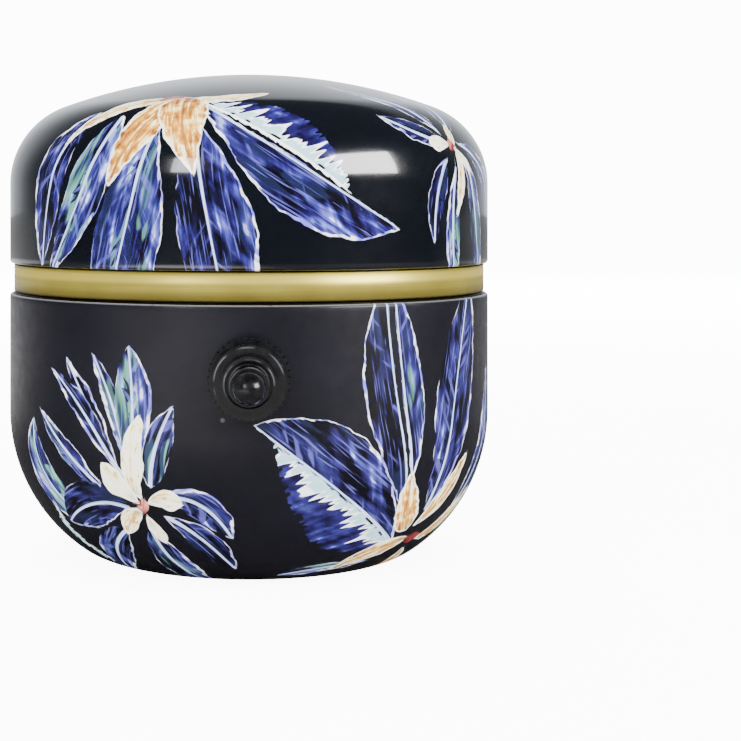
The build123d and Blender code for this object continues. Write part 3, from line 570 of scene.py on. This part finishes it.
def surface(name, dark, pale, grain, rough, metallic=0.0, depth=0.01, coat=0.0):
    """Colour from dark to pale along a grain, roughness along the same grain, handling marks and a bump."""
    material, n, shader, place = finished(name)
    value = grain(n, place)
    smudge = n.noise(place, 0.15, 3.0, 0.6)
    share = n.total(n.swing(value, 1.8), n.swing(smudge, 0.9), 0.5)
    n.put(shader.inputs["Base Color"], n.ramp(share, (0.0, dark), (1.0, pale)))
    spread = n.total(n.swing(value, 0.5), n.swing(smudge, 1.2), 0.5)
    n.put(shader.inputs["Roughness"], n.ramp(spread, (0.0, (rough[0],) * 3), (1.0, (rough[1],) * 3)))
    shader.inputs["Metallic"].default_value = metallic
    shader.inputs["Coat Weight"].default_value = coat
    shader.inputs["Coat Roughness"].default_value = 0.06
    bumped(n, shader, value, depth)
    return material


def printed_tin(name, ground, rough, specular, coat, rim_top_z):
    """Printed tinplate: a dark ground, the print's layers, orange peel in the lacquer, and bare tin along the
    top of the rolled rim, partly wear and partly a painted highlight.
    """
    material, n, shader, place = finished(name)
    mottle = n.noise(place, 0.09, 3.0, 0.6)
    colour = n.ramp(mottle, (0.3, ground), (0.7, tuple(value * 1.4 for value in ground)))
    for layer in range(LAYERS):
        field = n.add("ShaderNodeAttribute", attribute_name=f"print_{layer}")
        brush = n.add("ShaderNodeGroup", node_tree=PETAL_PRINT if layer >= FIRST_PETALS else LEAF_PRINT)
        n.put(brush.inputs["Field"], field.outputs["Color"])
        n.put(brush.inputs["Code"], field.outputs["Alpha"])
        n.put(brush.inputs["Under"], colour)
        colour = brush.outputs[0]
    scuffs = n.noise(place, 0.5, 4.0, 0.7)
    if rim_top_z:
        # bare tin painted round the top of the rolled rim: partly wear, partly a painted highlight along the
        # rim's top
        bare_rim_and_highlight = n.all_of(n.step(n.parts(place)[2], rim_top_z - 0.3, rim_top_z - 0.05), n.step(scuffs, 0.3, 0.45),
                        0.7)
        colour = n.mix(bare_rim_and_highlight, colour, BARE_DARK)
        off_mark = n.distance(place, (TIN_R * sin(OFF_TURN), -TIN_R * cos(OFF_TURN), OFF_Z))
        colour = n.mix(n.line(off_mark, 0.22, 0.25), colour, MARK)
    n.put(shader.inputs["Base Color"], colour)
    n.put(shader.inputs["Roughness"], n.ramp(scuffs, (0.3, (rough * 0.85,) * 3), (0.7, (rough * 1.15,) * 3)))
    shader.inputs["Specular IOR Level"].default_value = specular
    shader.inputs["Coat Weight"].default_value = coat
    shader.inputs["Coat Roughness"].default_value = 0.05
    bumped(n, shader, n.noise(place, 0.8, 2.0, 0.5), 0.004)
    return material


def gold_band():
    """Satin gold lacquer on a rolled bead, with painted shade where it meets body and lid and towards its
    bottom, a painted highlight band above its middle, and fine marks round it.
    """
    material, n, shader, place = finished("satin_gold")
    marks = brushed_round(0.12)(n, place)
    tint = n.total(n.swing(marks, 0.7), n.swing(n.noise(place, 0.12, 3.0), 0.8), 0.5)
    gold = n.ramp(tint, (0.0, srgb(134, 120, 46)), (0.5, srgb(158, 143, 57)), (1.0, srgb(186, 172, 80)))
    height = n.parts(place)[2]
    middle, half = (RIM_Z + LID_Z) / 2 + 0.2, (LID_Z - RIM_Z) / 2
    from_middle = n.math("DIVIDE", n.math("SUBTRACT", height, middle), half)
    roll = n.math("MAXIMUM", n.math("SUBTRACT", 1.0, n.math("MULTIPLY", from_middle, from_middle)), 0.0)
    # painted shade: the lower part of the bead is darkened
    low = n.no(n.step(from_middle, -0.75, -0.1))
    # painted shade: near black where the bead meets the lid and the body
    painted_joint_shade = n.math("MAXIMUM", n.no(n.step(from_middle, -0.95, -0.72)), n.step(from_middle, 0.76, 0.86))
    hidden = n.step(height, LID_Z, LID_Z + 0.1)  # the neck that the lid hides gets none of the painted joint shade
    # painted highlight: a paler band just above the bead's middle
    painted_highlight_band = n.all_of(n.step(from_middle, 0.0, 0.30), n.no(n.step(from_middle, 0.55, 0.80)), 0.6)
    band = n.mix(n.all_of(low, 0.5), n.mix(painted_highlight_band, gold, srgb(230, 208, 92)), srgb(96, 84, 40))
    n.put(shader.inputs["Base Color"], n.mix(n.all_of(painted_joint_shade, n.no(hidden), 0.96), band, srgb(8, 7, 4)))
    shader.inputs["Metallic"].default_value = 0.6
    n.put(shader.inputs["Roughness"], n.ramp(marks, (0.3, (0.32,) * 3), (0.7, (0.42,) * 3)))
    bumped(n, shader, n.math("MULTIPLY_ADD", marks, 0.006, roll), 0.9)
    return material


def knob_gloss():
    """Glossy black moulding with painted highlights: pale arcs on its ring edges here and there, towards the
    top.
    """
    material, n, shader, place = finished("knob_gloss")
    x, y, z = n.parts(place)
    radius = n.distance(n.vector(x, 0.0, z), (0.0, 0.0, KNOB_Z))
    grain = n.noise(place, 0.6, 3.0)
    black = n.ramp(grain, (0.35, srgb(7, 7, 8)), (0.65, srgb(20, 20, 22)))
    rings = [n.line(n.math("ABSOLUTE", n.math("SUBTRACT", radius, at)), 0.07, 0.10) for at in KNOB_EDGES]
    edges = n.math("MAXIMUM", rings[0], n.math("MAXIMUM", rings[1], rings[2]))
    # painted highlights on the ring edges, broken up by noise and kept to the upper part
    painted_ring_highlights = n.all_of(edges, n.step(n.noise(place, 0.28, 1.0), 0.42, 0.58),
                      n.step(z, KNOB_Z - 3.0, KNOB_Z + 2.5), 0.6)
    n.put(shader.inputs["Base Color"], n.mix(painted_ring_highlights, black, srgb(92, 92, 96)))
    n.put(shader.inputs["Roughness"], n.ramp(grain, (0.3, (0.16,) * 3), (0.7, (0.28,) * 3)))
    shader.inputs["Specular IOR Level"].default_value = 0.4
    bumped(n, shader, grain, 0.002)
    return material


LEAF_PRINT, PETAL_PRINT = print_group("leaf_print", False), print_group("petal_print", True)
KNOB_EDGES = (5.3, 3.75, 2.95)  # mm from the knob's axis
OFF_TURN, OFF_Z = radians(-5.5), RIM_Z - 17.7  # the small pale mark where the knob is off

# ---- lid and body skins ---------------------------------------------------------------------------
def evenly(place, length):
    count = round(length / STEP)
    return [place(length * i / count) for i in range(count + 1)]


hem = 0.5  # radius of the rolled edges
lid_rows = [(0.0, HEIGHT)] + evenly(lid_point, LID_Q)[-2::-1]  # from the crown down to the edge
lid_rows = [(r, z) for r, z in lid_rows if z > LID_Z + hem + 0.2]
lid_curl = [(TIN_R - hem + hem * cos(a), LID_Z + hem - hem * sin(a)) for a in np.linspace(0, pi / 2, 6)]
lid_inside = [(TIN_R - HEM_W, LID_Z), (TIN_R - HEM_W, LID_Z + HEM_H), (TIN_R - WALL, LID_Z + HEM_H)]
lid_inside += [lid_point(q, WALL) for q in np.linspace(3, LID_Q, 26)][:-1] + [(0.0, HEIGHT - WALL)]
lid_skin, lid_points = turned("lid_printed", lid_rows + lid_curl + lid_inside, len(lid_rows + lid_curl))
printed(lid_skin, lid_points, lid_point, lid_print + carried(lid_print, BACK))

rim_curl = [(TIN_R - hem + hem * cos(a), RIM_Z - hem + hem * sin(a)) for a in np.linspace(pi / 2, 0, 6)]
body_rows = [(r, z) for r, z in evenly(body_point, BODY_Q) if z < RIM_Z - hem - 0.2]
base = [(PANEL_R + 0.35, FOOT), (PANEL_R, FOOT + 0.3), (PANEL_R, PANEL_Z), (0.0, PANEL_Z)]
body_inside = [(0.0, PANEL_Z + WALL)] + [body_point(q, WALL) for q in np.linspace(BODY_Q, HEM_H, 26)]
body_inside += [(TIN_R - HEM_W, RIM_Z - HEM_H), (TIN_R - HEM_W, RIM_Z - 0.5)]
body_skin, body_points = turned(
    "body_printed", rim_curl + body_rows + base + body_inside, len(rim_curl + body_rows + base), closed=True,
    holes=((-TIN_R, KNOB_Z, 4.0), (TIN_R, SOCKET_Z, 6.0)),
)
printed(body_skin, body_points, body_point, body_print + carried(body_print, BACK))

bare_tin = surface("bare_tinplate", BARE_DARK, BARE_PALE, brushed_round(0.3), (0.25, 0.45), 1.0, 0.004)
for skin, look, body, node, slot in (
    (lid_skin, printed_tin("printed_lid_gloss", LID_GROUND, 0.16, 0.5, 1.0, None), "lid_shell", "lid",
     "printed_lid"),
    (body_skin, printed_tin("printed_body_satin", BODY_GROUND, 0.34, 0.36, 0.0, RIM_Z), "housing",
     "tin_body", "printed_body"),
):
    skin.data.materials.append(look)
    skin.data.materials.append(bare_tin)
    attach(skin, body)
    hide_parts(node)

# ---- finishes of the CAD nodes that show as they are ------------------------------------------------
fine, coarse = speckled(0.25), speckled(0.9, 0.4)
zinc = surface("zinc_plate", srgb(112, 116, 122), srgb(196, 198, 202), speckled(0.5), (0.24, 0.40), 1.0)
nickel = surface("nickel_plate", srgb(128, 124, 116), srgb(206, 202, 192), fine, (0.18, 0.32), 1.0, 0.005)
tinned = surface("tinned_contact", srgb(150, 150, 148), srgb(216, 216, 212), coarse, (0.30, 0.50), 1.0)
bronze = surface("sintered_bronze", srgb(88, 60, 34), srgb(176, 130, 84), speckled(0.18), (0.45, 0.70),
                 0.9, 0.03)
phenolic = surface("phenolic", srgb(24, 15, 10), srgb(52, 34, 24), fine, (0.40, 0.55))
moulded_black = surface("moulded_black", srgb(10, 10, 11), srgb(30, 30, 32), fine, (0.40, 0.60), depth=0.02)
finishes = {
    gold_band(): ["neck_ring"],
    knob_gloss(): ["speed_knob"],
    surface("anti_slip_rubber", srgb(14, 14, 14), srgb(34, 34, 33), coarse, (0.75, 0.95),
            depth=0.05): ["base_pad"],
    surface("basin_white", srgb(206, 206, 200), srgb(236, 236, 232), fine, (0.38, 0.52),
            depth=0.02): ["splash_basin"],
    surface("turned_alloy", srgb(150, 152, 156), srgb(226, 227, 230), ringed(0.14), (0.22, 0.42), 1.0,
            0.02): ["wheel_head"],
    surface("turned_brass", srgb(134, 100, 40), srgb(222, 184, 104), ringed(0.2), (0.22, 0.38),
            1.0): ["drive_hub"],
    surface("drawn_steel", srgb(126, 126, 124), srgb(200, 200, 196), brushed_round(0.5), (0.25, 0.45),
            1.0): ["motor_can"],
    surface("nylon", srgb(196, 190, 174), srgb(232, 228, 216), fine, (0.45, 0.60)): ["motor_end_cap"],
    surface("ferrite", srgb(34, 34, 36), srgb(70, 70, 72), speckled(0.3), (0.60, 0.80),
            depth=0.03): ["motor_magnets"],
    surface("ground_steel", srgb(134, 136, 138), srgb(214, 215, 216), brushed_round(0.08), (0.12, 0.28),
            1.0): ["motor_shaft"],
    surface("laminations", srgb(50, 50, 52), srgb(126, 126, 128), stacked(0.5), (0.35, 0.55), 1.0,
            0.04): ["armature_core"],
    surface("enamelled_wire", srgb(96, 40, 20), srgb(214, 122, 66), wound(0.4), (0.25, 0.40), 0.9,
            0.12): ["armature_windings"],
    surface("copper_bar", srgb(140, 74, 44), srgb(226, 150, 108), brushed_round(0.15), (0.20, 0.40),
            1.0): ["commutator_segments"],
    surface("pressed_carbon", srgb(16, 16, 17), srgb(44, 44, 46), speckled(0.2),
            (0.50, 0.75)): ["carbon_brushes"],
    surface("solder_mask", srgb(8, 62, 34), srgb(26, 104, 60), traced(2.2), (0.28, 0.45),
            coat=0.4): ["controller_board"],
    surface("block_green", srgb(28, 110, 58), srgb(52, 146, 84), fine, (0.35, 0.50)): ["terminal_block"],
    surface("shrink_sleeve", srgb(12, 16, 40), srgb(30, 38, 78), coarse, (0.20, 0.35),
            coat=0.5): ["filter_capacitor"],
    surface("red_insulation", srgb(128, 14, 14), srgb(178, 34, 30), fine,
            (0.40, 0.60)): ["motor_wire_red", "supply_wire_red"],
    surface("black_insulation", srgb(14, 14, 14), srgb(36, 36, 36), fine,
            (0.40, 0.60)): ["motor_wire_black", "supply_wire_black"],
    zinc: ["head_screws", "hub_grub_screw", "motor_screws", "terminal_screws", "pot_washer", "pot_nut"],
    nickel: ["pot_bush", "pot_shaft", "socket_nut"],
    tinned: ["brush_terminals", "pot_terminals", "transistor_legs", "socket_pin", "socket_lugs"],
    bronze: ["motor_front_bush", "motor_rear_bush"],
    phenolic: ["commutator_sleeve", "pot_housing"],
    moulded_black: ["driver_chip", "power_transistor", "power_socket"],
}
for material, nodes in finishes.items():
    for node in nodes:
        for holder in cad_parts[node].material_slots:
            holder.material = material

# ---- camera, floor and light ------------------------------------------------------------------------
EYE_AT, SENSOR, LENS = (0, -0.2975, 0.0625), 36.0, 80.4  # m, mm, mm
SHIFT = (0.164, -0.2285)  # shares of the frame

eye = bpy.data.cameras.new("camera")
eye.sensor_width, eye.lens = SENSOR, LENS
eye.shift_x, eye.shift_y = SHIFT
camera = bpy.data.objects.new("camera", eye)
camera.location = EYE_AT
camera.rotation_euler = (radians(90), 0, 0)
bpy.context.scene.collection.objects.link(camera)
bpy.context.scene.camera = camera

STUDIO_WHITE = 13.0  # radiance of the backdrop as the camera sees it
HORIZON_GLOSS = 0.2  # radiance of the far floor as the object's gloss sees it
BACKDROP_TOP = sin(radians(45))


def pale_floor():
    """Matt white paper that melts into the backdrop as the camera sees it. It lights the object as plain lit
    paper. In the object's gloss it is dark, apart from a patch in front on the left, the part behind and
    a faint
    glow far off."""
    half = 6.0
    mesh = bpy.data.meshes.new("floor")
    mesh.from_pydata([(-half, -half, 0), (half, -half, 0), (half, half, 0), (-half, half, 0)], [],
                     [(0, 1, 2, 3)])
    floor = bpy.data.objects.new("floor", mesh)
    bpy.context.scene.collection.objects.link(floor)
    material, n, shader, place = finished("pale_floor")
    rays = n.add("ShaderNodeLightPath").outputs
    paper = n.ramp(n.noise(place, 0.02), (0.3, (0.80, 0.80, 0.80)), (0.7, (0.83, 0.83, 0.83)))
    in_front = n.no(n.step(n.distance(place, (-190.0, -300.0, 0.0)), 40.0, 300.0))
    across, depth, _ = n.parts(place)
    behind = n.all_of(n.step(depth, 40.0, 260.0), n.math("MULTIPLY_ADD", n.step(across, -60.0, 60.0),
                                                         -0.28, 0.43))
    mirrored = n.math("MULTIPLY_ADD", n.math("MAXIMUM", in_front, behind), 0.80, 0.05)
    n.put(shader.inputs["Base Color"], n.mix(n.all_of(rays["Is Glossy Ray"], n.no(mirrored)), paper,
                                             (0.0, 0.0, 0.0)))
    shader.inputs["Roughness"].default_value = 0.9
    shader.inputs["Specular IOR Level"].default_value = 0.1
    shader.inputs["Emission Color"].default_value = (1.0, 1.0, 1.0, 1.0)
    far = n.step(n.distance(place, (0.0, 0.0, 0.0)), 150.0, 900.0)
    glow = n.math("MULTIPLY_ADD", far, STUDIO_WHITE * 0.25, STUDIO_WHITE * 0.73)
    horizon = n.all_of(rays["Is Glossy Ray"], n.step(depth, 200.0, 1600.0), HORIZON_GLOSS)
    n.put(shader.inputs["Emission Strength"], n.math("MULTIPLY_ADD", rays["Is Camera Ray"], glow, horizon))
    mesh.materials.append(material)


def studio():
    """White to the camera. To the object: a bright backdrop behind it, and a dim room in front and above."""
    world = bpy.data.worlds.new("studio")
    bpy.context.scene.world = world
    world.use_nodes = True
    n = Nodes(world.node_tree)
    sky = world.node_tree.nodes["Background"]
    x, y, z = n.parts(n.add("ShaderNodeTexCoord").outputs["Generated"])
    backdrop = n.all_of(n.step(y, 0.25, 1.0), n.no(n.step(z, BACKDROP_TOP - 0.03, BACKDROP_TOP + 0.03)))
    falling = n.math("MULTIPLY_ADD", n.step(z, 0.3, BACKDROP_TOP), -0.7, 1.3)
    aside = n.math("ABSOLUTE", x)
    sideways = n.total(1.0, n.math("MULTIPLY", n.step(aside, 0.15, 0.6), -0.45),
                       n.math("MULTIPLY", n.step(aside, 0.6, 0.9), -0.35))
    glow = n.math("MULTIPLY_ADD", backdrop, n.all_of(falling, sideways), 0.06)
    seen = n.add("ShaderNodeLightPath").outputs["Is Camera Ray"]
    n.put(sky.inputs["Color"], n.mix(seen, (0.93, 0.98, 1.05), (1.0, 1.0, 1.0)))
    n.put(sky.inputs["Strength"], n.math("ADD", n.all_of(n.no(seen), glow),
                                         n.math("MULTIPLY", seen, STUDIO_WHITE)))


def softbox(name, azimuth, elevation, size, radiance, mirrored=True):
    """A rectangular light a metre off that faces the object, placed by azimuth from the front and elevation.
    A fill that isn't mirrored lights the object without showing in its gloss."""
    light = bpy.data.lights.new(name, "AREA")
    light.shape, light.size, light.size_y = "RECTANGLE", *size
    light.energy = radiance * pi * size[0] * size[1]
    lamp = bpy.data.objects.new(name, light)
    a, e = radians(azimuth), radians(elevation)
    way = Vector((sin(a) * cos(e), -cos(a) * cos(e), sin(e)))
    lamp.location = Vector((0, 0, 0.045)) + way
    lamp.rotation_mode = "QUATERNION"
    lamp.rotation_quaternion = way.to_track_quat("Z", "Y")
    lamp.visible_glossy = mirrored
    bpy.context.scene.collection.objects.link(lamp)


pale_floor()
studio()
softbox("key_right", 57, 22, (0.52, 0.40), 26)
softbox("spot_left", -30, 21, (0.19, 0.30), 13)
softbox("fill_front", -15, 35, (1.0, 0.8), 7, mirrored=False)
softbox("fill_left", -85, 20, (0.8, 0.8), 3.5, mirrored=False)
softbox("fill_top", 0, 85, (1.0, 1.0), 6, mirrored=False)
softbox("fill_back", 180, 35, (1.2, 1.0), 6, mirrored=False)
